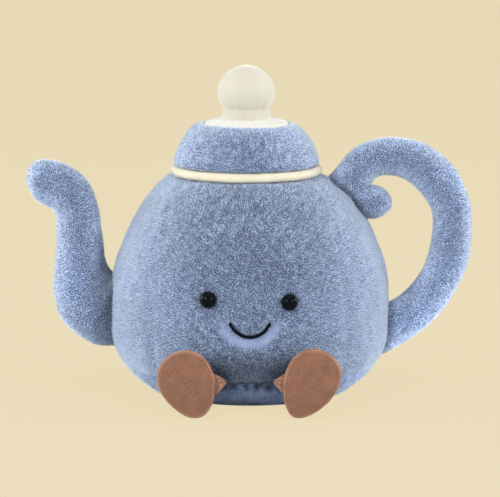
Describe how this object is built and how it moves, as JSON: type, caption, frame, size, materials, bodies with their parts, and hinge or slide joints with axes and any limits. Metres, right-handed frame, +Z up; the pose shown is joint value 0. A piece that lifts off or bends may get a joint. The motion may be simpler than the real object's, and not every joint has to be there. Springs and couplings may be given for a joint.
{
  "type": "plush teapot",
  "caption": "Stuffed plush teapot with a domed lid, piped seam and ball knob, a curved spout, a looped handle with a curl, bead eyes, a stitched smile and cord feet.",
  "frame": {"origin": "centre of the flat base, on the surface that the teapot stands on, on the body's own axis", "axes": "+Z up; the face looks along -Y; the spout points to -X and the handle to +X"},
  "size_m": [0.2861, 0.1894, 0.2076],
  "materials": {
    "blue_plush": "short soft pile plush, matt with a pale sheen at grazing angles",
    "blue_base": "shorter pile on the base panel, matt",
    "cream_plush": "short cream fleece, matt",
    "cream_knob": "smooth cream fleece, matt",
    "cream_piping": "woven cotton piping cord, matt",
    "brown_cord": "fine corduroy with narrow raised ribs, matt",
    "white_fibre": "loose polyester fibre",
    "pouch_linen": "plain woven cotton, matt",
    "black_bead": "polished black plastic",
    "white_plastic": "plain moulded plastic",
    "black_thread": "stranded embroidery thread"
  },
  "bodies": {
    "pot": {"body_cover": "blue_plush", "base_panel": "blue_base", "lid_cover": "blue_plush", "spout_cover": "blue_plush", "handle_cover": "blue_plush", "curl_cover": "blue_plush", "piping": "cream_piping", "lid_top_disc": "cream_plush", "knob_cover": "cream_knob", "body_filling": "white_fibre", "lid_filling": "white_fibre", "knob_filling": "white_fibre", "spout_filling": "white_fibre", "handle_filling": "white_fibre", "curl_filling": "white_fibre", "pellet_pouch": "pouch_linen", "eye_left": "black_bead", "eye_right": "black_bead", "eye_washer_left": "white_plastic", "eye_washer_right": "white_plastic", "smile": "black_thread"},
    "left_leg": {"leg_left": "brown_cord"},
    "left_foot": {"foot_upper_left": "brown_cord", "foot_sole_left": "brown_cord", "foot_filling_left": "white_fibre"},
    "right_leg": {"leg_right": "brown_cord"},
    "right_foot": {"foot_upper_right": "brown_cord", "foot_sole_right": "brown_cord", "foot_filling_right": "white_fibre"}
  },
  "joints": [
    {"name": "left_leg_droop", "type": "hinge", "parent": "pot", "child": "left_leg", "pos_m": [-0.01532, -0.08436, 0.02006], "axis": [1, 0, 0], "range_deg": [0, 70]},
    {"name": "left_foot_splay", "type": "hinge", "parent": "left_leg", "child": "left_foot", "pos_m": [-0.02211, -0.08876, 0.02006], "axis": [0, 0, 1], "range_deg": [0, 40]},
    {"name": "right_leg_droop", "type": "hinge", "parent": "pot", "child": "right_leg", "pos_m": [0.01532, -0.08436, 0.02006], "axis": [1, 0, 0], "range_deg": [0, 70]},
    {"name": "right_foot_splay", "type": "hinge", "parent": "right_leg", "child": "right_foot", "pos_m": [0.02211, -0.08876, 0.02006], "axis": [0, 0, -1], "range_deg": [0, 40]}
  ]
}
